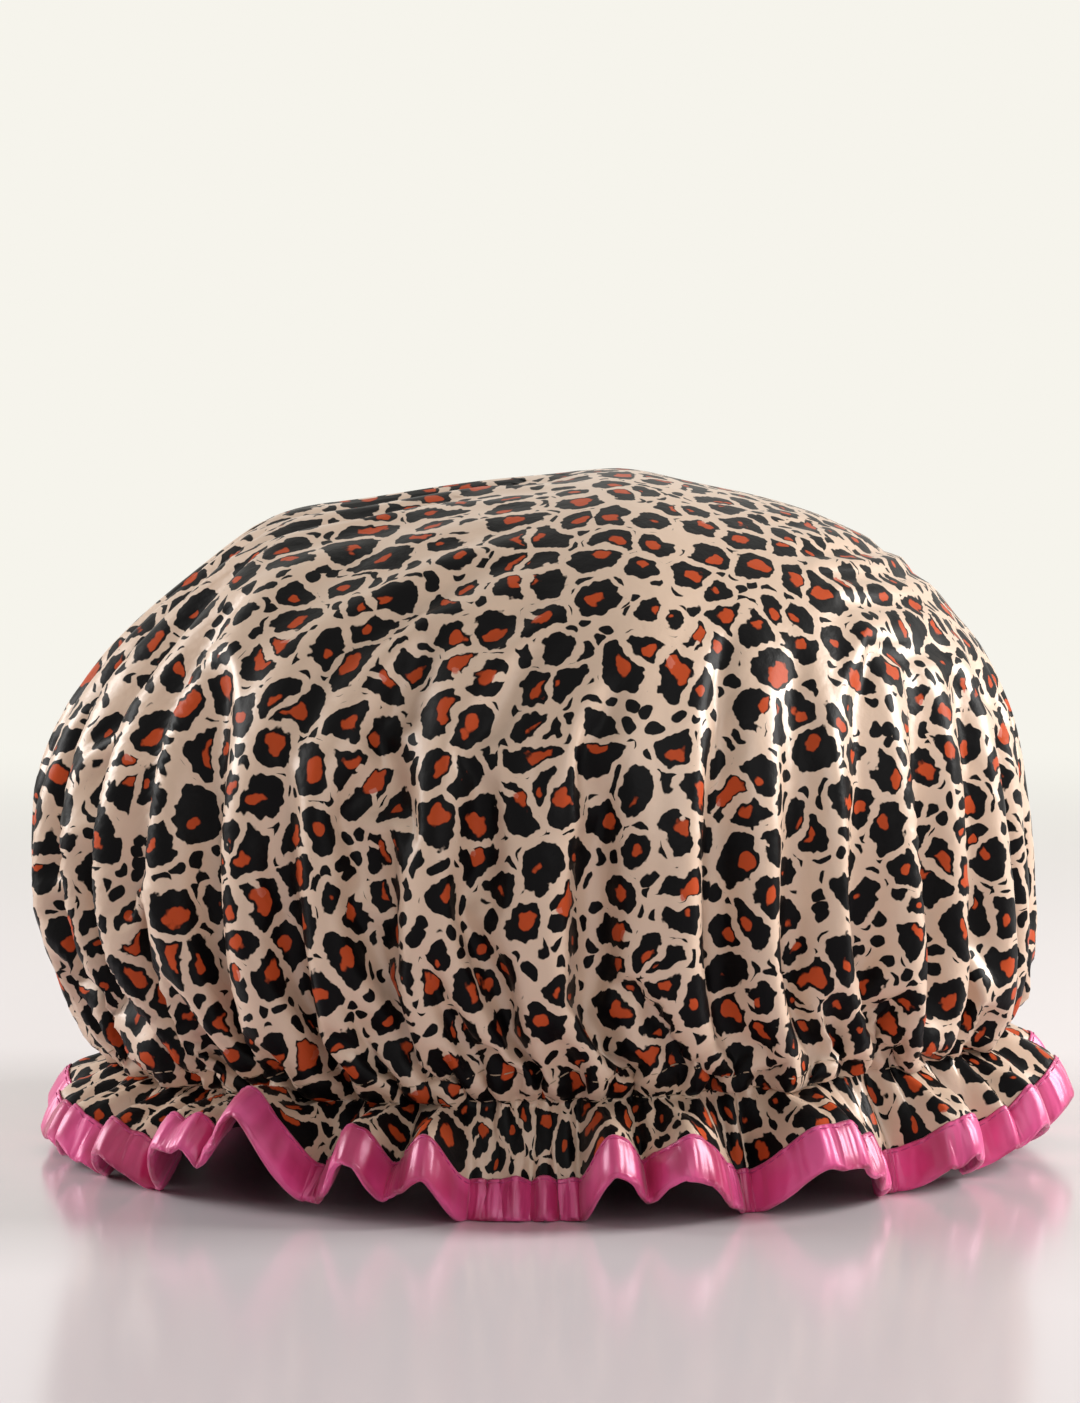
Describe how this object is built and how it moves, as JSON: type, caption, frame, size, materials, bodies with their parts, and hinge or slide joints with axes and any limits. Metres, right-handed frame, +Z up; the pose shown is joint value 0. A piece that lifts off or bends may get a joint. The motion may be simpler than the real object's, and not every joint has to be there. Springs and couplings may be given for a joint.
{
  "type": "shower cap",
  "caption": "Double-layer bouffant shower cap: printed satin crown over a waterproof film, elastic gather line and a bound frill.",
  "frame": {"origin": "middle of the cap's box, side to side and front to back, on the table that the hem stands on", "axes": "+Z up to the crown, -Y the side that the picture shows, +X to its right"},
  "size_m": [0.2492, 0.2512, 0.1592],
  "materials": {
    "satin": "polyester satin, cream ground with a black and rust leopard print",
    "film": "soft dark waterproof film, slight gloss",
    "elastic": "knitted off-white elastic tape",
    "binding": "bright pink satin tape"
  },
  "bodies": {
    "root": {"crown_satin": "satin", "crown_film": "film", "elastic_band": "elastic", "frill_satin": "satin", "frill_film": "film", "hem_binding": "binding"}
  },
  "joints": []
}
